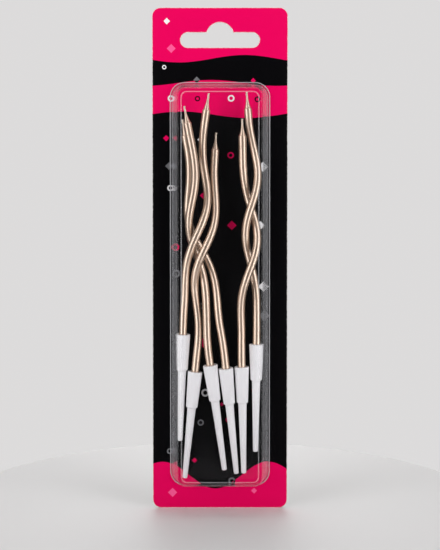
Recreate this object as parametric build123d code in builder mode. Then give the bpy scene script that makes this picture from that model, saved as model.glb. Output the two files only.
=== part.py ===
from build123d import *
import os
from collections import namedtuple
from math import cos, dist, pi, radians, sin, sqrt

# Hang card: two plies of board in X and Z, front face at Y = 0, origin at the top of the hang slot
CARD_WIDTH = 55.0
CARD_HEIGHT = 204.0
CARD_CORNER = 3.5
CARD_ABOVE_SLOT = 6.0
FRONT_PLY = 0.5
BACK_PLY = 0.5

# Hang slot: a round-ended bar with an arch over its middle, for one peg or a pair of hooks
SLOT_WIDTH = 32.0
SLOT_BAR_HEIGHT = 6.0
SLOT_ARCH_RADIUS = 5.5
SLOT_ARCH_RISE = 4.1

# Blister: clear formed film that comes out through a window in the front ply
WINDOW_WIDTH = 40.5
WINDOW_HEIGHT = 164.4
WINDOW_CORNER = 6.0
WINDOW_BELOW_SLOT_TOP = 24.2
WINDOW_CLEARANCE = 0.25
FILM = 0.3
BLISTER_DEPTH = 15.0
BLISTER_DRAFT = 11.5
BLISTER_EDGE_RADIUS = 1.2
FLANGE_WIDTH = 4.5
FLANGE_CLEARANCE = 0.15

# Candle holder: a tapered cup over a blunt spike
RIM_DIAMETER = 5.9
CUP_FOOT_DIAMETER = 4.6
CUP_LENGTH = 14.7
CUP_FLOOR = 1.7
SPIKE_TOP_DIAMETER = 3.4
SPIKE_TIP_DIAMETER = 2.0
SPIKE_STEP = 0.5
HOLDER_LENGTH = 44.0
RIM_BREAK = 0.25
SPIKE_BREAK = 0.25

# Candle: a wax rod wound one turn about a line beside its own axis, straight at both ends
CANDLE_DIAMETER = 3.2
CANDLE_LENGTH = 105.5
SOCKET_CLEARANCE = 0.05
COIL_RADIUS = 3.0
STRAIGHT_ENDS = 31.5
COIL_SPANS = 4
FOOT_STRAIGHT = 3.0
FOOT_BEND = 12.0
TOP_BEND = 30.0
TOP_BEND_BELOW_COIL_MIDDLE = 10.0
COIL_RISE = CANDLE_LENGTH - STRAIGHT_ENDS

# Tip and wick: a square-braided wick in a bore through the wax, bare above a small cone
TIP_BASE_DIAMETER = 2.7
TIP_TOP_DIAMETER = 1.5
TIP_LENGTH = 4.0
TIP_ROOT = 0.5
WICK_SIDE = 0.7
WICK_BARE = 2.6
WICK_CLEARANCE = 0.05

# How the six sets lie in the pack: cups side by side on the back ply, each rim some way above the
# lowest, each winding from its own height above the rim, angles in degrees
RIM_GAP = 0.25
LANE = RIM_DIAMETER + RIM_GAP
CUP_STAGGER_GAP = 0.6
REST_GAP = 0.3
SPIKE_ABOVE_WINDOW_FOOT = 3.2
CandleSet = namedtuple(
    "CandleSet",
    "lane rim_rise cup_lean lean top_lean tilt top_tilt seated coil_foot bulge",
)
SETS = [
    CandleSet(-2.44, CUP_LENGTH + CUP_STAGGER_GAP, 1.7, 5.2, 8.2, 3.2, 3.8, 12.0, 11.0, 325),
    CandleSet(-1.64, 0.0, 5.6, 6.9, 3.1, 1.6, -0.4, 12.2, 10.2, 242),
    CandleSet(-0.65, 2.8, -7.6, -1.2, -10.7, 4.0, 3.8, 5.0, 20.3, 187),
    CandleSet(0.38, 1.5, -5.7, -10.0, -10.7, 3.65, -5.3, 7.5, 16.9, 131),
    CandleSet(1.43, 2.0, -1.2, 1.5, -1.1, 2.2, 2.4, 9.0, 10.3, 324),
    CandleSet(2.41, 11.2, 0.5, -1.0, -4.5, 0.6, 0.6, 7.4, 17.2, 249),
]

# Places worked out from the sizes above
CARD_MIDDLE = CARD_ABOVE_SLOT - CARD_HEIGHT / 2
SLOT_BAR_MIDDLE = -SLOT_ARCH_RISE - SLOT_BAR_HEIGHT / 2
WINDOW_MIDDLE = -WINDOW_BELOW_SLOT_TOP - WINDOW_HEIGHT / 2
LOW_RIM = WINDOW_MIDDLE - WINDOW_HEIGHT / 2 + SPIKE_ABOVE_WINDOW_FOOT + HOLDER_LENGTH
CARD_FRONT = Plane.XZ
FRONT_PLY_BACK = CARD_FRONT.offset(-FRONT_PLY)
CARD_BACK = CARD_FRONT.offset(-FRONT_PLY - BACK_PLY)
FLANGE_FRONT = CARD_FRONT.offset(FILM - FRONT_PLY)
COVER_DEPTH = BLISTER_DEPTH + FRONT_PLY - FILM
DRAFT = radians(BLISTER_DRAFT)


def card_outline():
    """One ply's face with the hang slot cut out, drawn in the sketch that is open."""
    with Locations((0, CARD_MIDDLE)):
        RectangleRounded(CARD_WIDTH, CARD_HEIGHT, CARD_CORNER)
    with Locations((0, SLOT_BAR_MIDDLE)):
        SlotOverall(SLOT_WIDTH, SLOT_BAR_HEIGHT, mode=Mode.SUBTRACT)
    half = sqrt(SLOT_ARCH_RISE * (2 * SLOT_ARCH_RADIUS - SLOT_ARCH_RISE))
    with BuildSketch(mode=Mode.PRIVATE) as arch:
        with BuildLine():
            ThreePointArc((-half, -SLOT_ARCH_RISE), (0, 0), (half, -SLOT_ARCH_RISE))
            Polyline(
                (half, -SLOT_ARCH_RISE),
                (half, SLOT_BAR_MIDDLE),
                (-half, SLOT_BAR_MIDDLE),
                (-half, -SLOT_ARCH_RISE),
            )
        make_face()
    add(arch.sketch, mode=Mode.SUBTRACT)


def window_outline(margin, mode=Mode.ADD):
    """The window's rounded rectangle, larger all round by the margin."""
    width = WINDOW_WIDTH + 2 * margin
    height = WINDOW_HEIGHT + 2 * margin
    with Locations((0, WINDOW_MIDDLE)):
        RectangleRounded(width, height, WINDOW_CORNER + margin, mode=mode)


def ramp(height, start, width):
    """Distance gained by a slope that grows evenly from nothing to one over the width."""
    part = max(0.0, (height - start) / width)
    if part < 1:
        return width * part * part / 2
    return width * (part - 0.5)


def cup_plane(candle):
    """Rim centre of a holder, with X across the pack and Z up along the cup."""
    lean = radians(candle.cup_lean)
    tilt = radians(candle.tilt)
    on_rim = RIM_DIAMETER / 2
    on_spike = SPIKE_TIP_DIAMETER / 2 + HOLDER_LENGTH * sin(tilt)
    depth = FRONT_PLY - REST_GAP - max(on_rim, on_spike)
    axis = (sin(lean) * cos(tilt), -sin(tilt), cos(lean) * cos(tilt))
    return Plane(
        origin=(candle.lane * LANE, depth, LOW_RIM + candle.rim_rise),
        x_dir=(cos(lean), 0, -sin(lean)),
        z_dir=axis,
    )


def coil_middle(candle):
    """Height of the middle of a candle's winding along its cup's axis."""
    return candle.coil_foot + COIL_RISE / 2


def centre(candle, height):
    """Point on a candle's centre line at a height along its cup's axis."""
    middle = coil_middle(candle)
    share = min(1.0, max(0.0, (middle - height) / COIL_RISE + 0.5))
    turn = 2 * pi * share * share * (3 - 2 * share)
    bulge = radians(candle.bulge)
    across = COIL_RADIUS * ((1 - cos(turn)) * cos(bulge) - sin(turn) * sin(bulge))
    back = COIL_RADIUS * ((1 - cos(turn)) * sin(bulge) + sin(turn) * cos(bulge))
    low = ramp(height, FOOT_STRAIGHT, FOOT_BEND)
    high = ramp(height, middle - TOP_BEND_BELOW_COIL_MIDDLE, TOP_BEND)
    across += radians(candle.lean - candle.cup_lean) * low
    across += radians(candle.top_lean - candle.lean) * high
    back -= radians(candle.top_tilt - candle.tilt) * high
    return cup_plane(candle).from_local_coords(Vector(across, back, height))


def direction(candle, height):
    """Unit tangent of the centre line, upward."""
    step = 0.01
    return (centre(candle, height + step) - centre(candle, height - step)).normalized()


def biarc_joint(start, start_tangent, end, end_tangent):
    """Where two tangent arcs from start to end meet, and their shared tangent there."""
    chord = end - start
    both = start_tangent + end_tangent
    bend = 2 * (1 - start_tangent.dot(end_tangent))
    along = chord.dot(both)
    reach = (sqrt(along * along + bend * chord.dot(chord)) - along) / bend
    first = start + start_tangent * reach
    second = end - end_tangent * reach
    return (first + second) / 2, second - first


def rod_line(candle, length):
    """Lines and tangent arcs along a candle's centre, in the open line. Gives the plane at its top."""
    step = COIL_RISE / COIL_SPANS
    heights = [FOOT_STRAIGHT] + [candle.coil_foot + step * i for i in range(1, COIL_SPANS + 1)]
    foot = Line(centre(candle, -candle.seated), centre(candle, FOOT_STRAIGHT))
    used = foot.length
    for low, high in zip(heights, heights[1:]):
        ends = centre(candle, low), centre(candle, high)
        tangents = direction(candle, low), direction(candle, high)
        joint, joint_tangent = biarc_joint(ends[0], tangents[0], ends[1], tangents[1])
        used += TangentArc(ends[0], joint, tangent=tangents[0]).length
        used += TangentArc(joint, ends[1], tangent=joint_tangent).length
    end = ends[1] + tangents[1] * (length - used)
    Line(ends[1], end)
    return Plane(end, z_dir=tangents[1])


def least_gap(candle):
    """Least distance between the rod's surface and itself, on points over four diameters apart."""
    top = candle.coil_foot + COIL_RISE
    points = [tuple(centre(candle, height)) for height in range(-int(candle.seated), int(top))]
    apart = int(4 * CANDLE_DIAMETER)
    pairs = (dist(a, b) for i, a in enumerate(points) for b in points[i + apart :])
    return min(pairs) - CANDLE_DIAMETER


os.makedirs("parts", exist_ok=True)

# Front ply: printed board with the hang slot, the blister's window and a shallow seat for its flange
with BuildPart() as front_card:
    with BuildSketch(FRONT_PLY_BACK):
        card_outline()
        window_outline(0, Mode.SUBTRACT)
    extrude(amount=FRONT_PLY)
    with BuildSketch(FRONT_PLY_BACK):
        window_outline(FLANGE_WIDTH + FLANGE_CLEARANCE)
    extrude(amount=FILM, mode=Mode.SUBTRACT)
front_card.part.label = "front_card"
export_step(front_card.part, "parts/front_card.step")

# Back ply: plain board that closes the pack behind the candles
with BuildPart() as back_card:
    with BuildSketch(CARD_BACK):
        card_outline()
    extrude(amount=BACK_PLY)
back_card.part.label = "back_card"
export_step(back_card.part, "parts/back_card.step")

# Hollow of the blister: the cover's own form, one film thickness behind and inside it
with BuildPart() as hollow:
    with BuildSketch(FRONT_PLY_BACK):
        window_outline(-WINDOW_CLEARANCE - FILM * (1 - sin(DRAFT)) / cos(DRAFT))
    extrude(amount=COVER_DEPTH, taper=BLISTER_DRAFT)
    fillet(hollow.faces().sort_by(Axis.Y)[0].edges(), BLISTER_EDGE_RADIUS - FILM)

# Blister: a drafted cover of even film, open to the back, with a flange held between the plies
with BuildPart() as blister:
    with BuildSketch(FLANGE_FRONT):
        window_outline(-WINDOW_CLEARANCE)
    extrude(amount=COVER_DEPTH, taper=BLISTER_DRAFT)
    fillet(blister.faces().sort_by(Axis.Y)[0].edges(), BLISTER_EDGE_RADIUS)
    with BuildSketch(FRONT_PLY_BACK):
        window_outline(FLANGE_WIDTH)
    extrude(amount=FILM)
    add(hollow.part, mode=Mode.SUBTRACT)
blister.part.label = "blister"
export_step(blister.part, "parts/blister.step")

# Six sets, each a holder with a candle pushed into its cup and a wick through the wax
for number, candle in enumerate(SETS, start=1):
    plane = cup_plane(candle)
    axis = Axis(plane.origin, plane.z_dir)
    socket_radius = CANDLE_DIAMETER / 2 + SOCKET_CLEARANCE
    with BuildPart() as holder:
        with BuildSketch(Plane(plane.origin, x_dir=plane.x_dir, z_dir=-plane.y_dir)) as section:
            with BuildLine():
                Polyline(
                    (socket_radius, 0),
                    (socket_radius, CUP_FLOOR - CUP_LENGTH),
                    (0, CUP_FLOOR - CUP_LENGTH),
                    (0, -HOLDER_LENGTH),
                    (SPIKE_TIP_DIAMETER / 2, -HOLDER_LENGTH),
                    (SPIKE_TOP_DIAMETER / 2, -CUP_LENGTH - SPIKE_STEP),
                    (CUP_FOOT_DIAMETER / 2, -CUP_LENGTH),
                    (RIM_DIAMETER / 2, 0),
                    close=True,
                )
            make_face()
            levels = section.vertices().group_by(Axis.Y)
            chamfer(levels[-1].sort_by(Axis.X)[-1], RIM_BREAK)
            chamfer(levels[0].sort_by(Axis.X)[-1], SPIKE_BREAK)
        revolve(axis=axis)
    holder.part.label = f"holder_{number}"
    export_step(holder.part, f"parts/holder_{number}.step")

    foot = Plane(centre(candle, -candle.seated), x_dir=plane.x_dir, z_dir=plane.z_dir)
    bore_side = WICK_SIDE + 2 * WICK_CLEARANCE
    with BuildPart() as wax:
        with BuildLine() as rod:
            top = rod_line(candle, CANDLE_LENGTH)
        with BuildSketch(foot):
            Circle(CANDLE_DIAMETER / 2)
            Rectangle(bore_side, bore_side, mode=Mode.SUBTRACT)
        sweep(path=rod.wire(), clean=False)
        root = top.offset(-TIP_ROOT)
        with BuildSketch(root):
            Circle(TIP_BASE_DIAMETER / 2)
        with BuildSketch(top.offset(TIP_LENGTH)):
            Circle(TIP_TOP_DIAMETER / 2)
        loft(clean=False)
        with BuildSketch(root):
            Circle(bore_side / sqrt(2))
        extrude(amount=TIP_ROOT + TIP_LENGTH, mode=Mode.SUBTRACT, clean=False)
    wax.part.label = f"candle_{number}"
    export_step(wax.part, f"parts/candle_{number}.step")

    with BuildPart() as wick:
        with BuildLine() as braid:
            rod_line(candle, CANDLE_LENGTH + TIP_LENGTH + WICK_BARE)
        with BuildSketch(foot):
            Rectangle(WICK_SIDE, WICK_SIDE)
        sweep(path=braid.wire(), clean=False)
    wick.part.label = f"wick_{number}"
    export_step(wick.part, f"parts/wick_{number}.step")
    print(f"candle_{number} least gap to itself {least_gap(candle):.1f} mm")
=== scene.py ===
import math

import bmesh
import bpy
import numpy as np
from mathutils import Matrix


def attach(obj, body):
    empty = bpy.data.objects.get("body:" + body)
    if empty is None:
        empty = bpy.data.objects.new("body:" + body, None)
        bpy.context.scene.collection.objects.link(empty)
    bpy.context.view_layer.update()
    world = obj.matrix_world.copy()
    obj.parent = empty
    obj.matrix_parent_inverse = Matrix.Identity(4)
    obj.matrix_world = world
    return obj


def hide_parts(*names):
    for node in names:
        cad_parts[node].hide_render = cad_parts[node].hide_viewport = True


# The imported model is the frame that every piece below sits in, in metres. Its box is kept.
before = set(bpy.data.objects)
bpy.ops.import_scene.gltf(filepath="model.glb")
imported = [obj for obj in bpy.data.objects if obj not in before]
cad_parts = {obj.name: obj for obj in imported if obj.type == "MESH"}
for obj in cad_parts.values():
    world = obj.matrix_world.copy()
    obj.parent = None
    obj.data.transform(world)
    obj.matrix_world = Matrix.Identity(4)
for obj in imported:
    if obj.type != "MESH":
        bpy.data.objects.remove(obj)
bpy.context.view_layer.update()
MM = 0.001

# Hang card: two plies of coated board, die cut together with a round-ended hang slot that
# has an arch over its middle. The front ply has a window for the blister. The plies are
# heat sealed to each other round the blister's flange.
CARD_WIDTH, CARD_HEIGHT, CARD_CORNER, CARD_TOP = 55.0, 204.0, 3.5, 6.0
PLY, PLY_EDGE = 0.5, 0.05
SLOT_WIDTH, SLOT_BAR, SLOT_ARCH_RADIUS, SLOT_ARCH_RISE = 32.0, 6.0, 5.5, 4.1
WINDOW_WIDTH, WINDOW_HEIGHT, WINDOW_CORNER, WINDOW_TOP = 40.5, 164.4, 6.0, -24.2


def rounded_outline(width, height, corner, middle, arc=12, edge=1):
    """Points round a rectangle: at each corner a quarter circle about a centre one corner
    radius in from both sides, then evenly spaced points on the straight run to the next."""
    sign = np.array([(1, 1), (-1, 1), (-1, -1), (1, -1)], float)
    centre = sign * (width / 2 - corner, height / 2 - corner) + (0, middle)
    angle = np.linspace(0, np.pi / 2, arc) + np.arange(4)[:, None] * np.pi / 2
    arcs = centre[:, None] + corner * np.stack([np.cos(angle), np.sin(angle)], -1)
    share = (np.arange(1, edge + 1) / (edge + 1))[None, :, None]
    runs = arcs[:, -1:] * (1 - share) + np.roll(arcs, -1, 0)[:, :1] * share
    return np.concatenate([arcs, runs], 1).reshape(-1, 2)


def slot_outline():
    """Points round the hang slot: the arch's circle where it stands over the bar, then half
    circles of the bar's height at its left and right ends."""
    rise = SLOT_ARCH_RADIUS - SLOT_ARCH_RISE
    half = math.acos(rise / SLOT_ARCH_RADIUS)
    turn = np.linspace(half, -half, 24)
    arch = SLOT_ARCH_RADIUS * np.stack([np.sin(turn), np.cos(turn) - 1], -1)
    round_end = np.linspace(0, np.pi, 20)
    reach = (SLOT_WIDTH - SLOT_BAR) / 2
    bar_middle = -SLOT_ARCH_RISE - SLOT_BAR / 2
    across = reach + SLOT_BAR / 2 * np.sin(round_end)
    up = bar_middle + SLOT_BAR / 2 * np.cos(round_end)
    left = np.stack([-across, up], -1)
    right = np.stack([across, up], -1)[::-1]
    return np.concatenate([arch, left, right])


def die_cut(name, outlines, front):
    """A flat curve through each outline, filled between them, with the board's thickness and
    a fine rounded edge, stood up in the X-Z plane with its face at the given depth."""
    curve = bpy.data.curves.new(name, "CURVE")
    curve.dimensions = "2D"
    curve.fill_mode = "BOTH"
    curve.extrude = PLY / 2 - PLY_EDGE
    curve.bevel_depth = PLY_EDGE
    curve.bevel_resolution = 2
    curve.offset = -PLY_EDGE
    for outline in outlines:
        spline = curve.splines.new("POLY")
        spline.points.add(len(outline) - 1)
        flat = np.column_stack([outline, np.zeros(len(outline)), np.ones(len(outline))])
        spline.points.foreach_set("co", flat.ravel())
        spline.use_cyclic_u = True
    form = bpy.data.objects.new(name + "_form", curve)
    mesh = bpy.data.meshes.new_from_object(form)
    bpy.data.objects.remove(form)
    mesh.transform(Matrix.Rotation(math.pi / 2, 4, "X"))
    mesh.transform(Matrix.Translation((0, front + PLY / 2, 0)))
    mesh.transform(Matrix.Scale(MM, 4))
    return finished(name, mesh, sharp=25)


def finished(name, mesh, sharp=40):
    """An object for a mesh whose doubles are merged and whose faces point outwards. Edges
    that turn by more than the sharp angle, in degrees, stay crisp."""
    form = bmesh.new()
    form.from_mesh(mesh)
    bmesh.ops.remove_doubles(form, verts=form.verts, dist=1e-7)
    bmesh.ops.dissolve_degenerate(form, edges=form.edges, dist=1e-8)
    bmesh.ops.recalc_face_normals(form, faces=form.faces)
    form.to_mesh(mesh)
    form.free()
    mesh.shade_smooth()
    mesh.set_sharp_from_angle(angle=math.radians(sharp))
    mesh.name = name
    piece = bpy.data.objects.new(name, mesh)
    bpy.context.scene.collection.objects.link(piece)
    return piece


def node(tree, kind, links=None, **settings):
    """A shader node: settings are its own options, and links gives each input a value or the
    output that feeds it."""
    made = tree.nodes.new(kind)
    for option, value in settings.items():
        setattr(made, option, value)
    for key, value in (links or {}).items():
        if isinstance(value, bpy.types.NodeSocket):
            tree.links.new(value, made.inputs[key])
        else:
            made.inputs[key].default_value = value
    return made


def sum_of(tree, operation, first, second, third=0.0, clamp=False):
    """One step of arithmetic on values or outputs."""
    links = {0: first, 1: second, 2: third}
    return node(tree, "ShaderNodeMath", links, operation=operation, use_clamp=clamp).outputs[0]


def coated(name):
    """A material, its node tree and its Principled shader."""
    made = bpy.data.materials.new(name)
    made.use_nodes = True
    return made, made.node_tree, made.node_tree.nodes["Principled BSDF"]


HOT_PINK = (0.78, 0.0, 0.098, 1)
PALE_PINK = (0.93, 0.10, 0.30, 1)
INK_BLACK = (0.0012, 0.001, 0.0016, 1)
PRINT_WHITE = (0.86, 0.85, 0.86, 1)
PRINT_GREY = (0.16, 0.16, 0.17, 1)
BOARD_CORE = (0.78, 0.76, 0.74, 1)
BOARD_BACK = (0.52, 0.50, 0.47, 1)
EDGE_WEAR = 0.35


def inside_edge(tree, across, up):
    """Distance from the nearest cut edge, growing inwards: the card's rounded rectangle, less
    the slot's round-ended bar and the arch's circle above the bar's middle."""

    def length(first, second):
        """Length of the sum of two squares."""
        squares = sum_of(tree, "MULTIPLY_ADD", first, first, sum_of(tree, "MULTIPLY", second, second))
        return sum_of(tree, "SQRT", squares, 0.0)

    middle = CARD_TOP - CARD_HEIGHT / 2
    wide = sum_of(tree, "SUBTRACT", sum_of(tree, "ABSOLUTE", across, 0.0), CARD_WIDTH / 2 - CARD_CORNER)
    tall = sum_of(tree, "ABSOLUTE", sum_of(tree, "SUBTRACT", up, middle), 0.0)
    tall = sum_of(tree, "SUBTRACT", tall, CARD_HEIGHT / 2 - CARD_CORNER)
    past = length(sum_of(tree, "MAXIMUM", wide, 0.0), sum_of(tree, "MAXIMUM", tall, 0.0))
    short = sum_of(tree, "MINIMUM", sum_of(tree, "MAXIMUM", wide, tall), 0.0)
    from_outline = sum_of(tree, "SUBTRACT", CARD_CORNER, sum_of(tree, "ADD", past, short))
    bar_middle = -SLOT_ARCH_RISE - SLOT_BAR / 2
    reach = (SLOT_WIDTH - SLOT_BAR) / 2
    beyond = sum_of(tree, "SUBTRACT", sum_of(tree, "ABSOLUTE", across, 0.0), reach)
    over_bar = sum_of(tree, "SUBTRACT", up, bar_middle)
    from_bar = length(sum_of(tree, "MAXIMUM", beyond, 0.0), over_bar)
    from_bar = sum_of(tree, "SUBTRACT", from_bar, SLOT_BAR / 2)
    from_arch = length(across, sum_of(tree, "ADD", up, SLOT_ARCH_RADIUS))
    from_arch = sum_of(tree, "SUBTRACT", from_arch, SLOT_ARCH_RADIUS)
    from_arch = sum_of(tree, "MAXIMUM", from_arch, sum_of(tree, "MULTIPLY", over_bar, -1.0))
    return sum_of(tree, "MINIMUM", from_outline, sum_of(tree, "MINIMUM", from_bar, from_arch))


CONFETTI_CELL, CONFETTI_SCATTER, CONFETTI_MARGIN = 12.0, 0.55, 2.6


def confetti(tree, flat, metric, smallest, spread, first, last):
    """Mask and tint of small figures in some cells of a scattered grid: diamonds where distance
    is measured along both axes, rings where it is measured straight. A cell's own draw says
    which figure it holds, and cells whose middle is near a cut edge stay bare."""
    place = node(tree, "ShaderNodeVectorMath", {0: flat, "Scale": 1 / CONFETTI_CELL}, operation="SCALE")
    scatter = node(
        tree,
        "ShaderNodeTexVoronoi",
        {"Vector": place.outputs[0], "Scale": 1.0, "Randomness": CONFETTI_SCATTER},
        voronoi_dimensions="2D",
        distance=metric,
    )
    draw = node(tree, "ShaderNodeSeparateColor", {0: scatter.outputs["Color"]})
    size = sum_of(tree, "MULTIPLY_ADD", draw.outputs[0], spread, smallest)
    away = sum_of(tree, "MULTIPLY", scatter.outputs["Distance"], CONFETTI_CELL)
    if metric == "EUCLIDEAN":
        off_ring = sum_of(tree, "ABSOLUTE", sum_of(tree, "SUBTRACT", away, size), 0.0)
        size, away = sum_of(tree, "MULTIPLY", size, 0.3), off_ring
    inside = sum_of(tree, "SUBTRACT", size, away)
    mask = sum_of(tree, "MULTIPLY_ADD", inside, 10.0, 0.5, clamp=True)
    above_first = sum_of(tree, "GREATER_THAN", draw.outputs[1], first)
    below_last = sum_of(tree, "LESS_THAN", draw.outputs[1], last)
    chosen = sum_of(tree, "MULTIPLY", above_first, below_last)
    middle = node(tree, "ShaderNodeSeparateXYZ", {0: scatter.outputs["Position"]})
    across = sum_of(tree, "MULTIPLY", middle.outputs[0], CONFETTI_CELL)
    up = sum_of(tree, "MULTIPLY", middle.outputs[1], CONFETTI_CELL)
    clear = sum_of(tree, "GREATER_THAN", inside_edge(tree, across, up), CONFETTI_MARGIN)
    chosen = sum_of(tree, "MULTIPLY", chosen, clear)
    return sum_of(tree, "MULTIPLY", mask, chosen), draw.outputs[2]


def tint(tree, draw, low, middle, high):
    """One of three inks, picked by a cell's own draw."""
    ramp = node(tree, "ShaderNodeValToRGB", {0: draw})
    ramp.color_ramp.interpolation = "CONSTANT"
    ramp.color_ramp.elements[0].color = low
    ramp.color_ramp.elements[1].position = 0.72
    ramp.color_ramp.elements[1].color = high
    ramp.color_ramp.elements.new(0.4).color = middle
    return ramp.outputs[0]


def mixed(tree, share, first, second):
    """A blend of two colours by a share."""
    links = {"Factor": share, "A": first, "B": second}
    made = node(tree, "ShaderNodeMix", None, data_type="RGBA")
    for key, value in links.items():
        socket = next(s for s in made.inputs if s.name == key and s.enabled)
        if isinstance(value, bpy.types.NodeSocket):
            tree.links.new(value, socket)
        else:
            socket.default_value = value
    return next(s for s in made.outputs if s.enabled)


def printed_board(name):
    """Coated board: waved bands of pink and black ink with scattered confetti on the face,
    white core on the cut edges and bare grey fibre on the back."""
    made, tree, shader = coated(name)
    coordinates = node(tree, "ShaderNodeTexCoord")
    millimetres = node(
        tree,
        "ShaderNodeVectorMath",
        {0: coordinates.outputs["Object"], "Scale": 1 / MM},
        operation="SCALE",
    )
    spot = node(tree, "ShaderNodeSeparateXYZ", {0: millimetres.outputs[0]})
    across, up = spot.outputs[0], spot.outputs[2]
    flat = node(tree, "ShaderNodeCombineXYZ", {0: across, 1: up}).outputs[0]

    def above(height, swing, rate, phase):
        """One above a sine wave across the card and nought below it, with a fine soft edge."""
        angle = sum_of(tree, "MULTIPLY_ADD", across, rate, phase)
        wave = sum_of(tree, "MULTIPLY_ADD", sum_of(tree, "SINE", angle, 0.0), swing, height)
        return sum_of(tree, "MULTIPLY_ADD", sum_of(tree, "SUBTRACT", up, wave), 8.0, 0.5, clamp=True)

    header = above(-14.6, 1.5, 0.118, 0.4)
    band = above(-24.4, 1.2, 0.118, 2.0)
    shoulder = above(-37.2, 1.3, 0.118, 3.4)
    footer = above(-184.5, 5.5, 0.145, -1.3)
    belt = sum_of(tree, "SUBTRACT", shoulder, band)
    pink = sum_of(tree, "ADD", header, belt)
    pink = sum_of(tree, "ADD", pink, sum_of(tree, "SUBTRACT", 1.0, footer), clamp=True)
    ground = mixed(tree, pink, INK_BLACK, HOT_PINK)

    diamonds, diamond_draw = confetti(tree, flat, "MANHATTAN", 0.7, 1.7, 0.0, 0.34)
    on_black = tint(tree, diamond_draw, HOT_PINK, PRINT_GREY, PRINT_WHITE)
    on_pink = tint(tree, diamond_draw, PALE_PINK, INK_BLACK, PRINT_WHITE)
    face = mixed(tree, diamonds, ground, mixed(tree, pink, on_black, on_pink))
    rings, ring_draw = confetti(tree, flat, "EUCLIDEAN", 0.5, 0.8, 0.72, 1.0)
    on_black = tint(tree, ring_draw, PRINT_WHITE, HOT_PINK, PRINT_GREY)
    on_pink = tint(tree, ring_draw, PRINT_WHITE, PALE_PINK, INK_BLACK)
    face = mixed(tree, rings, face, mixed(tree, pink, on_black, on_pink))

    fibre = node(
        tree,
        "ShaderNodeTexNoise",
        {"Vector": millimetres.outputs[0], "Scale": 3.2, "Detail": 6.0, "Roughness": 0.65},
    ).outputs[0]
    speck = node(
        tree,
        "ShaderNodeTexNoise",
        {"Vector": millimetres.outputs[0], "Scale": 0.9, "Detail": 3.0},
    ).outputs[0]
    facing = node(tree, "ShaderNodeSeparateXYZ", {0: coordinates.outputs["Normal"]}).outputs[1]
    is_face = sum_of(tree, "LESS_THAN", facing, -0.6)
    is_back = sum_of(tree, "GREATER_THAN", facing, 0.6)
    pulp = node(tree, "ShaderNodeMapRange", {0: fibre, 1: 0.3, 2: 0.7, 3: 0.82, 4: 1.1}).outputs[0]
    back = node(tree, "ShaderNodeHueSaturation", {"Value": pulp, "Color": BOARD_BACK}).outputs[0]
    core = node(tree, "ShaderNodeHueSaturation", {"Value": pulp, "Color": BOARD_CORE}).outputs[0]
    chipped = sum_of(tree, "MULTIPLY_ADD", speck, EDGE_WEAR, inside_edge(tree, across, up))
    chipped = sum_of(tree, "MULTIPLY_ADD", chipped, -6.0, 2.6, clamp=True)
    face = mixed(tree, sum_of(tree, "MULTIPLY", chipped, 0.8), face, BOARD_CORE)
    face_or_edge = mixed(tree, is_face, core, face)
    tree.links.new(mixed(tree, is_back, face_or_edge, back), shader.inputs["Base Color"])
    gloss = node(tree, "ShaderNodeMapRange", {0: speck, 1: 0.3, 2: 0.7, 3: 0.44, 4: 0.54}).outputs[0]
    rough = sum_of(tree, "MULTIPLY_ADD", sum_of(tree, "SUBTRACT", 1.0, is_face), 0.35, gloss)
    tree.links.new(rough, shader.inputs["Roughness"])
    shader.inputs["Specular IOR Level"].default_value = 0.05
    grain = node(tree, "ShaderNodeBump", {"Strength": 0.12, "Distance": 0.00004, "Height": fibre})
    tree.links.new(grain.outputs[0], shader.inputs["Normal"])
    return made


card_middle = CARD_TOP - CARD_HEIGHT / 2
window_middle = WINDOW_TOP - WINDOW_HEIGHT / 2
card = rounded_outline(CARD_WIDTH, CARD_HEIGHT, CARD_CORNER, card_middle)
window = rounded_outline(WINDOW_WIDTH, WINDOW_HEIGHT, WINDOW_CORNER, window_middle)
back_ply = die_cut("back_ply", [card, slot_outline()], PLY)
front_ply = die_cut("front_ply", [card, slot_outline(), window], 0.0)
for ply, cad_node, slot in (
    (back_ply, "back_card", "plain_board"),
    (front_ply, "front_card", "printed_board"),
):
    ply.data.materials.append(printed_board(slot + "_ink"))
    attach(ply, "pack")
    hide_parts(cad_node)

# Blister: clear film, drawn by heat and vacuum over a block with sloped sides and rounded edges.
# A narrow ledge runs round its foot and a fine bead round its front, and both carry a painted
# highlight: a little white painted into the film where the lamps draw bright lines. The front sinks
# inside the bead. The flange is trapped between the plies.
FILM, DEPTH, DRAFT, EDGE_RADIUS = 0.3, 15.0, math.radians(11.5), 1.2
FLANGE, WINDOW_CLEARANCE, FOOT_RADIUS, FRONT_SINK = 4.5, 0.25, 0.35, 0.12
LEDGE_OUT, LEDGE_OVERLAP, LEDGE_ROUND, LEDGE_WIDTH = 0.9, 0.1, 0.45, 0.3
# The ledge's and the bead's white shares are a painted highlight.
LEDGE_PAINTED_HIGHLIGHT, BEAD_PAINTED_HIGHLIGHT, END_WALLS, CORNER_SHARE = 0.4, 0.18, 0.35, 0.75
GLOSS_ALONG, GLOSS_AHEAD = 0.9, 0.009
BEAD_RISE, BEAD_WIDTH, BEAD_INSET = 0.14, 0.6, 0.4


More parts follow.
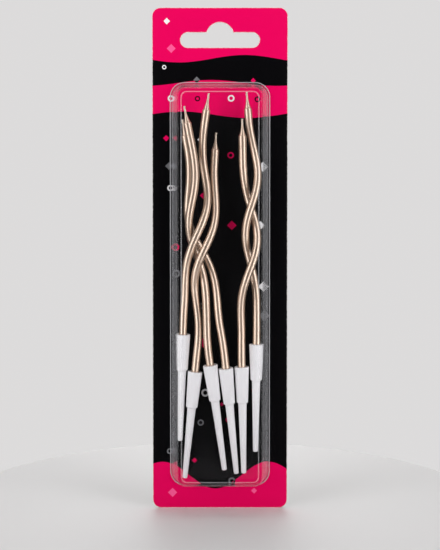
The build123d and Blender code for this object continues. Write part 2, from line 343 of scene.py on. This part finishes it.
def blister_section():
    """Inset from the window's edge, depth and the white share of painted highlight, from the flange's
    edge round the foot's ledge, up the sloped wall, round the front edge and over the bead, which is half a
    sine wave."""
    seat = PLY - FILM
    front = -DEPTH + BEAD_RISE
    round_corner = np.linspace(0, np.pi / 2, 7)
    ledge_in = -LEDGE_OVERLAP + LEDGE_ROUND * (1 - np.cos(round_corner))
    ledge_out = -LEDGE_OUT + LEDGE_ROUND * (1 - np.sin(round_corner))
    tangent = EDGE_RADIUS * math.tan((math.pi / 2 - DRAFT) / 2)
    corner = WINDOW_CLEARANCE + (seat - front) * math.tan(DRAFT)
    turn = np.linspace(DRAFT, np.pi / 2, 12)
    edge_in = corner + tangent - EDGE_RADIUS * np.cos(turn)
    edge_out = front + EDGE_RADIUS - EDGE_RADIUS * np.sin(turn)
    wall = np.linspace(0.0, 0.97, 10)
    wall_in = ledge_in[-1] + LEDGE_WIDTH + (edge_in[0] - ledge_in[-1] - LEDGE_WIDTH) * wall
    wall_out = -LEDGE_OUT + (edge_out[0] + LEDGE_OUT) * wall
    over = np.linspace(0, 1, 9)[1:]
    bead_in = edge_in[-1] + BEAD_INSET + np.concatenate([[0], BEAD_WIDTH * over])
    bead_out = front - BEAD_RISE * np.concatenate([[0], np.sin(np.pi * over)])
    flange = [-FLANGE, -FLANGE / 2, -FOOT_RADIUS, WINDOW_CLEARANCE]
    inset = np.concatenate([flange, ledge_in, wall_in, edge_in, bead_in])
    out = np.concatenate([[seat, seat, seat, seat - 0.06], ledge_out, wall_out, edge_out, bead_out])
    # The white share is a painted highlight: white on the ledge's round and on the bead, where the lamps
    # draw bright lines.
    white = np.concatenate(
        [
            np.zeros(len(flange)),
            LEDGE_PAINTED_HIGHLIGHT * np.sin(2 * round_corner),
            np.zeros(len(wall)),
            np.zeros(len(turn)),
            BEAD_PAINTED_HIGHLIGHT * (front - bead_out) / BEAD_RISE,
        ]
    )
    return inset, out, white


def blister_rings():
    """Rounded rectangles inset from the window by the section, then rings that close in on
    the middle line of the front, which sinks by a cosine from its edge to its middle."""
    inset, out, white = blister_section()
    last = inset[-1]
    closing = np.linspace(last, WINDOW_WIDTH / 2, 14)[1:]
    sink = FRONT_SINK * (1 - np.cos(np.pi * (closing - last) / (closing[-1] - last))) / 2
    inset = np.concatenate([inset, closing])
    out = np.concatenate([out, out[-1] + sink])
    # Over the front the painted highlight's white share is nought.
    white = np.concatenate([white, np.zeros(len(closing))])
    rings = [
        rounded_outline(
            WINDOW_WIDTH - 2 * step,
            WINDOW_HEIGHT - 2 * step,
            max(WINDOW_CORNER - CORNER_SHARE * step, 0.0),
            window_middle,
            arc=14,
            edge=18,
        )
        for step in inset
    ]
    flat = np.stack(rings)
    depth = np.broadcast_to(out[:, None], flat.shape[:2])
    return np.stack([flat[..., 0], depth, flat[..., 1]], -1) * MM, np.repeat(white, flat.shape[1])


def skin(name, grid, sharp=40, white=None):
    """A mesh of quads between neighbouring rows of a grid of points whose rows close round. Each
    point may carry a white share of painted highlight of its own."""
    rows, columns = grid.shape[:2]
    index = np.arange(rows * columns).reshape(rows, columns)
    beside = np.roll(index, -1, 1)
    quads = np.stack([index[:-1], beside[:-1], beside[1:], index[1:]], -1).reshape(-1, 4)
    mesh = bpy.data.meshes.new(name)
    mesh.from_pydata(grid.reshape(-1, 3).tolist(), [], quads.tolist())
    # The white attribute holds each point's share of painted highlight.
    if white is not None:
        mesh.attributes.new("white", "FLOAT", "POINT").data.foreach_set("value", white)
    return finished(name, mesh, sharp)


def clear_film(name):
    """Clear film: light goes straight through, and more is mirrored the flatter it strikes, by
    one less the cosine to the fifth power. The stretched walls are faintly milky, less so at the
    two ends, which shows where the film is seen edge-on, and fine scuffs break up the gloss. On the
    foot's ledge and the bead a painted highlight mixes white into the film."""
    made, tree, shader = coated(name)
    tree.nodes.remove(shader)
    coordinates = node(tree, "ShaderNodeTexCoord")
    scuff = node(
        tree,
        "ShaderNodeTexNoise",
        {"Vector": coordinates.outputs["Object"], "Scale": 420.0, "Detail": 5.0},
    ).outputs[0]
    haze = node(tree, "ShaderNodeMapRange", {0: scuff, 1: 0.35, 2: 0.75, 3: 0.14, 4: 0.22}).outputs[0]
    slant = node(tree, "ShaderNodeLayerWeight", {"Blend": 0.5}).outputs["Facing"]
    share = sum_of(tree, "MULTIPLY_ADD", sum_of(tree, "POWER", slant, 5.0), GLOSS_ALONG, GLOSS_AHEAD)
    ripple = node(
        tree,
        "ShaderNodeTexNoise",
        {"Vector": coordinates.outputs["Object"], "Scale": 60.0, "Detail": 2.0},
    ).outputs[0]
    wave = node(tree, "ShaderNodeBump", {"Strength": 0.25, "Distance": 0.0004, "Height": ripple})
    gloss = node(
        tree,
        "ShaderNodeBsdfGlossy",
        {"Color": (0.97, 0.97, 0.98, 1), "Roughness": haze, "Normal": wave.outputs[0]},
    )
    through = node(tree, "ShaderNodeBsdfTransparent", {"Color": (0.985, 0.985, 0.99, 1)})
    both = node(tree, "ShaderNodeMixShader", {0: share, 1: through.outputs[0], 2: gloss.outputs[0]})
    drawn = node(
        tree,
        "ShaderNodeMapping",
        {"Vector": coordinates.outputs["Object"], "Scale": (900.0, 900.0, 12.0)},
    )
    streak = node(tree, "ShaderNodeTexNoise", {"Vector": drawn.outputs[0], "Scale": 1.0, "Detail": 3.0})
    cloud = node(
        tree,
        "ShaderNodeMapRange",
        {0: streak.outputs[0], 1: 0.35, 2: 0.65, 3: 0.05, 4: 0.20},
    ).outputs[0]
    # The white attribute is a painted highlight on the ledge and the bead, mixed in as white scatter.
    stretched = node(tree, "ShaderNodeAttribute", attribute_name="white").outputs["Fac"]
    upright = node(tree, "ShaderNodeSeparateXYZ", {0: coordinates.outputs["Normal"]}).outputs[2]
    upright = sum_of(tree, "MULTIPLY_ADD", sum_of(tree, "ABSOLUTE", upright, 0.0), END_WALLS - 1, 1.0)
    cloud = sum_of(tree, "MULTIPLY", cloud, upright)
    # Haze on the walls, plus the painted highlight on the ledge and the bead.
    haze_and_painted_highlight = sum_of(tree, "MULTIPLY_ADD", sum_of(tree, "POWER", slant, 3.0), cloud, stretched)
    scatter = node(tree, "ShaderNodeBsdfDiffuse", {"Color": (0.86, 0.86, 0.90, 1)})
    film = node(tree, "ShaderNodeMixShader", {0: haze_and_painted_highlight, 1: both.outputs[0], 2: scatter.outputs[0]})
    tree.links.new(film.outputs[0], tree.nodes["Material Output"].inputs["Surface"])
    return made


# The film's points carry the painted highlight's white share.
film_grid, film_painted_highlight = blister_rings()
blister = skin("formed_blister", film_grid, sharp=60, white=film_painted_highlight)
if sum(p.normal.y * p.area for p in blister.data.polygons) > 0:
    blister.data.flip_normals()
wall = blister.modifiers.new("film", "SOLIDIFY")
wall.thickness = FILM * MM
wall.offset = -1.0
blister.data.materials.append(clear_film("clear_pet_film"))
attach(blister, "pack")
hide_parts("blister")

# Holders: six moulded white plastic cups, each on a blunt spike that goes into the cake. They
# lie in the blister side by side, with their own lean across the pack and tilt towards its front.
LANE, REST_GAP = 6.15, 0.3
RIM, CUP, CUP_FLOOR, HOLDER = 2.95, 14.7, 13.0, 44.0
SPIKE_TIP = 1.0
LOW_RIM = -141.4
SETS = (
    dict(lane=-2.44, rim=LOW_RIM + CUP + 0.6, cup_lean=1.7, tilt=3.2),
    dict(lane=-1.64, rim=LOW_RIM, cup_lean=5.6, tilt=1.6),
    dict(lane=-0.65, rim=-138.6, cup_lean=-7.6, tilt=4.0),
    dict(lane=0.38, rim=-139.9, cup_lean=-5.7, tilt=3.65),
    dict(lane=1.43, rim=-139.4, cup_lean=-1.2, tilt=2.2),
    dict(lane=2.41, rim=-130.2, cup_lean=0.5, tilt=0.6),
)
HOLDER_SECTION = np.array(
    [
        (0.0, -CUP_FLOOR),
        (1.4, -CUP_FLOOR),
        (1.58, -CUP_FLOOR + 0.05),
        (1.65, -CUP_FLOOR + 0.25),
        (1.65, -0.5),
        (1.66, -0.2),
        (1.72, -0.06),
        (1.86, 0.0),
        (2.70, 0.0),
        (2.84, -0.03),
        (2.92, -0.12),
        (RIM, -0.32),
        (2.925, -0.9),
        (2.345, -13.9),
        (2.315, -14.4),
        (2.27, -14.62),
        (2.17, -CUP),
        (1.86, -14.78),
        (1.74, -14.95),
        (1.70, -15.3),
        (1.675, -16.0),
        (1.03, -42.9),
        (1.00, -43.6),
        (0.95, -43.85),
        (0.84, -43.97),
        (0.70, -HOLDER),
        (0.0, -HOLDER),
    ]
)


def cup_frame(place):
    """Rim centre of a holder, and the directions across it, behind it and up along its cup. The
    spike's tip or the rim rests on the back ply, whichever comes first."""
    lean, tilt = math.radians(place["cup_lean"]), math.radians(place["tilt"])
    behind = max(RIM, SPIKE_TIP + HOLDER * math.sin(tilt))
    origin = np.array((place["lane"] * LANE, PLY - REST_GAP - behind, place["rim"]))
    up = np.array((math.sin(lean) * math.cos(tilt), -math.sin(tilt), math.cos(lean) * math.cos(tilt)))
    across = np.array((math.cos(lean), 0, -math.sin(lean)))
    return origin, across, np.cross(up, across), up


def turned(place, section, sides=56):
    """A section of radius and height carried round the cup's axis in even steps."""
    origin, across, behind, up = cup_frame(place)
    angle = np.arange(sides) * 2 * np.pi / sides
    spoke = np.cos(angle)[:, None] * across + np.sin(angle)[:, None] * behind
    radius, height = section[:, 0], section[:, 1]
    return (origin + radius[:, None, None] * spoke + height[:, None, None] * up) * MM


def white_plastic(name):
    """Satin white plastic: a fine moulded grain, a trace of flow in its colour and a sheen
    that varies a little."""
    made, tree, shader = coated(name)
    coordinates = node(tree, "ShaderNodeTexCoord").outputs["Object"]
    stretched = node(tree, "ShaderNodeMapping", {"Vector": coordinates, "Scale": (900.0, 900.0, 130.0)})
    flow = node(tree, "ShaderNodeTexNoise", {"Vector": stretched.outputs[0], "Scale": 1.0, "Detail": 4.0})
    colour = mixed(tree, flow.outputs[0], (0.80, 0.785, 0.80, 1), (0.88, 0.87, 0.88, 1))
    tree.links.new(colour, shader.inputs["Base Color"])
    grain = node(tree, "ShaderNodeTexNoise", {"Vector": coordinates, "Scale": 5200.0, "Detail": 3.0})
    sheen = node(tree, "ShaderNodeMapRange", {0: flow.outputs[0], 1: 0.3, 2: 0.7, 3: 0.34, 4: 0.46})
    tree.links.new(sheen.outputs[0], shader.inputs["Roughness"])
    bump = node(tree, "ShaderNodeBump", {"Strength": 0.1, "Distance": 0.00003, "Height": grain.outputs[0]})
    tree.links.new(bump.outputs[0], shader.inputs["Normal"])
    shader.inputs["Specular IOR Level"].default_value = 0.4
    return made


holder_plastic = white_plastic("satin_white_plastic")
for number, place in enumerate(SETS, start=1):
    holder = skin(f"turned_holder_{number}", turned(place, HOLDER_SECTION))
    holder.data.materials.append(holder_plastic)
    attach(holder, "pack")
    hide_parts(f"holder_{number}")

# Candles: six wax rods, wound one turn while soft, straight at both ends, and dipped in a gold
# lacquer. Each is pushed into its holder's cup, and ends in a small drawn cone round the wick.
CANDLE_RADIUS, CANDLE_LENGTH, TIP_LENGTH = 1.6, 105.5, 4.0
COIL_RADIUS, COIL_RISE = 3.0, 74.0
FOOT_STRAIGHT, FOOT_BEND, TOP_BEND, TOP_BEND_DROP = 3.0, 12.0, 30.0, 10.0
LINE_STEPS, LINE_RUN_OUT = 1600, 30.0
CONE_FOOT, CONE_TOP, CONE_HOLLOW = 1.33, 0.47, 1.55
SWELL_ALONG, SWELL_ROUND = 0.006, 0.004
WINDINGS = (
    dict(lean=5.2, top_lean=8.2, top_tilt=3.8, seated=12.0, coil_foot=11.0, bulge=325),
    dict(lean=6.9, top_lean=3.1, top_tilt=-0.4, seated=12.2, coil_foot=10.2, bulge=242),
    dict(lean=-1.2, top_lean=-10.7, top_tilt=3.8, seated=5.0, coil_foot=20.3, bulge=187),
    dict(lean=-10.0, top_lean=-10.7, top_tilt=-5.3, seated=7.5, coil_foot=16.9, bulge=131),
    dict(lean=1.5, top_lean=-1.1, top_tilt=2.4, seated=9.0, coil_foot=10.3, bulge=324),
    dict(lean=-1.0, top_lean=-4.5, top_tilt=0.6, seated=7.4, coil_foot=17.2, bulge=249),
)


def slope_gain(height, start, width):
    """Distance gained by a slope that grows evenly from nothing to one over a width."""
    part = np.maximum(0, (height - start) / width)
    return width * np.where(part < 1, part * part / 2, part - 0.5)


def rod_line(place, winding, length):
    """Where a rod's centre line is at each length from its foot. It circles a line beside the
    cup's axis once, easing in and out by the smooth step, and bends at its foot and near its top."""
    origin, across, behind, up = cup_frame(place)
    middle = winding["coil_foot"] + COIL_RISE / 2
    height = np.linspace(-winding["seated"], middle + COIL_RISE / 2 + LINE_RUN_OUT, LINE_STEPS)
    share = np.clip((middle - height) / COIL_RISE + 0.5, 0, 1)
    turn = 2 * np.pi * share * share * (3 - 2 * share)
    bulge = math.radians(winding["bulge"])
    aside = COIL_RADIUS * ((1 - np.cos(turn)) * math.cos(bulge) - np.sin(turn) * math.sin(bulge))
    back = COIL_RADIUS * ((1 - np.cos(turn)) * math.sin(bulge) + np.sin(turn) * math.cos(bulge))
    low = slope_gain(height, FOOT_STRAIGHT, FOOT_BEND)
    high = slope_gain(height, middle - TOP_BEND_DROP, TOP_BEND)
    aside = aside + math.radians(winding["lean"] - place["cup_lean"]) * low
    aside = aside + math.radians(winding["top_lean"] - winding["lean"]) * high
    back = back - math.radians(winding["top_tilt"] - place["tilt"]) * high
    line = origin + aside[:, None] * across + back[:, None] * behind + height[:, None] * up
    run = np.concatenate([[0], np.cumsum(np.linalg.norm(np.diff(line, axis=0), axis=1))])
    at = np.stack([np.interp(length, run, line[:, i]) for i in range(3)], -1)
    heading = np.gradient(line, run, axis=0)
    along = np.stack([np.interp(length, run, heading[:, i]) for i in range(3)], -1)
    return at, along / np.linalg.norm(along, axis=1)[:, None], across


def rod(place, winding, length, radius):
    """A surface round a rod's centre line: at each length a ring of the given radii, square to
    the line and starting on the side that faces across the pack."""
    at, along, across = rod_line(place, winding, length)
    side = across - (along @ across)[:, None] * along
    side /= np.linalg.norm(side, axis=1)[:, None]
    other = np.cross(along, side)
    angle = np.arange(radius.shape[1]) * 2 * np.pi / radius.shape[1]
    spoke = np.cos(angle)[:, None] * side[:, None] + np.sin(angle)[:, None] * other[:, None]
    return (at[:, None] + radius[..., None] * spoke) * MM


def candle_section(sides, seed):
    """Lengths from the foot and radii round the rod: a rounded foot, a body whose radius swells
    by a few thousandths in slow waves, a cut shoulder and a hollow-sided cone."""
    foot = np.array([(0, 0), (0, 1.2), (0.06, 1.42), (0.2, 1.54), (0.5, CANDLE_RADIUS)])
    body = np.column_stack([np.linspace(1.2, CANDLE_LENGTH - 1.1, 190), np.full(190, CANDLE_RADIUS)])
    shoulder = np.array([(-0.5, CANDLE_RADIUS), (-0.25, 1.585), (-0.09, 1.54), (0, 1.45), (0.02, 1.36)])
    shoulder[:, 0] += CANDLE_LENGTH
    draw = np.linspace(0.02, 1, 16)
    neck = CONE_TOP + (CONE_FOOT - CONE_TOP) * (1 - draw) ** CONE_HOLLOW
    cone = np.column_stack([CANDLE_LENGTH + TIP_LENGTH * draw, neck])
    rows = np.concatenate([foot, body, shoulder, cone, [(CANDLE_LENGTH + TIP_LENGTH, 0)]])
    length = rows[:, 0]
    angle = np.arange(sides) * 2 * np.pi / sides
    along = SWELL_ALONG * np.sin(length * 0.31 + seed)[:, None]
    around = SWELL_ROUND * np.sin(2 * angle + length[:, None] * 0.17 + 2 * seed)
    return length, rows[:, 1][:, None] * (1 + along + around)


def gold_lacquer(name):
    """Champagne gold lacquer on wax: metal flake with long dip streaks in its colour and gloss
    under a thin clear coat, over the wax's faint dimples."""
    made, tree, shader = coated(name)
    coordinates = node(tree, "ShaderNodeTexCoord").outputs["Object"]
    stretched = node(tree, "ShaderNodeMapping", {"Vector": coordinates, "Scale": (700.0, 700.0, 60.0)})
    streak = node(tree, "ShaderNodeTexNoise", {"Vector": stretched.outputs[0], "Scale": 1.0, "Detail": 4.0})
    colour = mixed(tree, streak.outputs[0], (0.54, 0.39, 0.285, 1), (0.70, 0.525, 0.395, 1))
    tree.links.new(colour, shader.inputs["Base Color"])
    shader.inputs["Metallic"].default_value = 0.82
    shader.inputs["Coat Weight"].default_value = 1.0
    shader.inputs["Coat Roughness"].default_value = 0.14
    shader.inputs["Coat IOR"].default_value = 1.75
    gloss = node(tree, "ShaderNodeMapRange", {0: streak.outputs[0], 1: 0.3, 2: 0.7, 3: 0.29, 4: 0.39})
    tree.links.new(gloss.outputs[0], shader.inputs["Roughness"])
    dimple = node(tree, "ShaderNodeTexNoise", {"Vector": coordinates, "Scale": 650.0, "Detail": 2.0})
    bump = node(
        tree,
        "ShaderNodeBump",
        {"Strength": 0.12, "Distance": 0.00012, "Height": dimple.outputs[0]},
    )
    tree.links.new(bump.outputs[0], shader.inputs["Normal"])
    return made


lacquer = gold_lacquer("champagne_gold_lacquer")
for number, (place, winding) in enumerate(zip(SETS, WINDINGS), start=1):
    candle = skin(f"wound_candle_{number}", rod(place, winding, *candle_section(44, number)), sharp=50)
    candle.data.materials.append(lacquer)
    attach(candle, f"candle_{number}")
    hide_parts(f"candle_{number}")

# Wicks: one braided cotton cord through each candle. Its bare end stands out of the cone, and
# the dip has left it stiff and pale gold.
WICK_RADIUS, WICK_BARE, STRANDS, LAY = 0.36, 2.6, 3, 1.9
WICK_FOOT, FINE_FROM, SPLAY_RUN = 2.0, 100.0, 0.7


def wick_section(sides):
    """Lengths and radii of a three-strand cord: the radius rises and falls three times round,
    and the strands climb by one turn in each lay. The cut end is slightly splayed."""
    top = CANDLE_LENGTH + TIP_LENGTH + WICK_BARE
    hidden = np.linspace(WICK_FOOT, FINE_FROM, 60)
    fine = np.linspace(FINE_FROM + 0.4, top, 110)
    length = np.concatenate([[WICK_FOOT], hidden, fine, [top]])
    angle = np.arange(sides) * 2 * np.pi / sides
    strands = 1 + 0.17 * np.cos(STRANDS * angle + length[:, None] * 2 * np.pi / LAY)
    splay = 1 + 0.22 * np.clip((length - top + SPLAY_RUN) / SPLAY_RUN, 0, 1) ** 2
    radius = WICK_RADIUS * strands * splay[:, None]
    radius[[0, -1]] = 0
    return length, radius


def wick_cotton(name):
    """Cotton stiffened by the lacquer: fine fibres along the cord and uneven pale gold."""
    made, tree, shader = coated(name)
    coordinates = node(tree, "ShaderNodeTexCoord").outputs["Object"]
    stretched = node(tree, "ShaderNodeMapping", {"Vector": coordinates, "Scale": (6000.0, 6000.0, 1200.0)})
    fibre = node(tree, "ShaderNodeTexNoise", {"Vector": stretched.outputs[0], "Scale": 1.0, "Detail": 5.0})
    colour = mixed(tree, fibre.outputs[0], (0.55, 0.42, 0.30, 1), (0.90, 0.82, 0.70, 1))
    tree.links.new(colour, shader.inputs["Base Color"])
    shader.inputs["Metallic"].default_value = 0.35
    shader.inputs["Roughness"].default_value = 0.5
    bump = node(tree, "ShaderNodeBump", {"Strength": 0.4, "Distance": 0.00005, "Height": fibre.outputs[0]})
    tree.links.new(bump.outputs[0], shader.inputs["Normal"])
    return made


cotton = wick_cotton("lacquered_cotton")
for number, (place, winding) in enumerate(zip(SETS, WINDINGS), start=1):
    wick = skin(f"braided_wick_{number}", rod(place, winding, *wick_section(18)), sharp=70)
    wick.data.materials.append(cotton)
    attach(wick, f"candle_{number}")
    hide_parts(f"wick_{number}")

# Studio: a round pale floor under the card's lower edge, a world that is pale behind the pack and
# dim behind the camera, two tall soft boxes in front, left and right, and small ones behind the
# pack and overhead.
FLOOR_RADIUS, FLOOR_DEPTH, FLOOR_ROUND = 0.12, 0.02, 0.004
FLOOR_PALE = (0.66, 0.65, 0.65, 1)
SKY_DIM, SKY_PALE, SKY_TURNS, SKY_TURNED = 0.10, 0.72, 0.45, 0.92
floor_level = (CARD_TOP - CARD_HEIGHT) * MM


def floor_rings(sides=160):
    """A disc with a quarter round at its edge and a straight side below."""
    turn = np.linspace(0, np.pi / 2, 8)
    reach = np.concatenate([[0], FLOOR_RADIUS - FLOOR_ROUND * (1 - np.sin(turn)), [FLOOR_RADIUS, 0]])
    drop = np.concatenate([[0], FLOOR_ROUND * (1 - np.cos(turn)), [FLOOR_DEPTH, FLOOR_DEPTH]])
    angle = np.arange(sides) * 2 * np.pi / sides
    flat = reach[:, None, None] * np.stack([np.cos(angle), np.sin(angle)], -1)
    height = np.broadcast_to((floor_level - drop)[:, None, None], flat.shape[:2] + (1,))
    return np.concatenate([flat, height], -1)


floor = skin("floor", floor_rings())
floor_finish, _, floor_shader = coated("pale_floor")
floor_shader.inputs["Base Color"].default_value = FLOOR_PALE
floor_shader.inputs["Roughness"].default_value = 0.6
floor.data.materials.append(floor_finish)

world = bpy.data.worlds.new("studio")
bpy.context.scene.world = world
world.use_nodes = True
sky = world.node_tree
toward = node(sky, "ShaderNodeTexCoord").outputs["Generated"]
depth = node(sky, "ShaderNodeSeparateXYZ", {0: toward}).outputs[1]
turning = {0: depth, 1: SKY_TURNS, 2: SKY_TURNED, 3: SKY_DIM, 4: SKY_PALE}
level = node(sky, "ShaderNodeMapRange", turning)
level.interpolation_type = "SMOOTHSTEP"
sky.links.new(level.outputs[0], sky.nodes["Background"].inputs["Strength"])
sky.nodes["Background"].inputs["Color"].default_value = (1.0, 0.985, 0.985, 1)

BESIDE, AHEAD = 0.64, 0.50
SIDE_TURN = math.atan2(BESIDE, AHEAD)
for name, watts, size, place, turn in (
    ("soft_box_left", 9.4, (0.56, 1.9), (-BESIDE, -AHEAD, -0.08), (math.pi / 2, 0, -SIDE_TURN)),
    ("soft_box_right", 9.4, (0.56, 1.9), (BESIDE, -AHEAD, -0.08), (math.pi / 2, 0, SIDE_TURN)),
    ("soft_box_behind", 2.6, (0.6, 0.6), (0, 0.8, 0.0), (-math.pi / 2, 0, 0)),
    ("soft_box_overhead", 2.2, (0.5, 0.5), (0, 0.05, 0.6), (0, 0, 0)),
):
    lamp = bpy.data.lights.new(name, "AREA")
    lamp.shape = "RECTANGLE"
    lamp.size, lamp.size_y = size
    lamp.energy = watts
    box = bpy.data.objects.new(name, lamp)
    box.location = place
    box.rotation_euler = turn
    box.visible_camera = False
    bpy.context.scene.collection.objects.link(box)

# Camera: level with the upper third of the card, tipped down a little, at the photograph's
# distance. The picture is 440 by 550, and its long side is the sensor's 36 mm.
CAMERA_BACK, CAMERA_UP, TIP_DOWN = -0.440, -0.0684, math.radians(1.8)
FOCAL_PIXELS, LONG_SIDE = 1082.1, 550
lens = bpy.data.cameras.new("camera")
lens.sensor_width = 36.0
lens.lens = FOCAL_PIXELS * lens.sensor_width / LONG_SIDE
lens.shift_y = -0.0898
lens.clip_start = 0.01
camera = bpy.data.objects.new("camera", lens)
camera.location = (0, CAMERA_BACK, CAMERA_UP)
camera.rotation_euler = (math.pi / 2 - TIP_DOWN, 0, 0)
bpy.context.scene.collection.objects.link(camera)
bpy.context.scene.camera = camera
bpy.context.scene.view_settings.view_transform = "Standard"
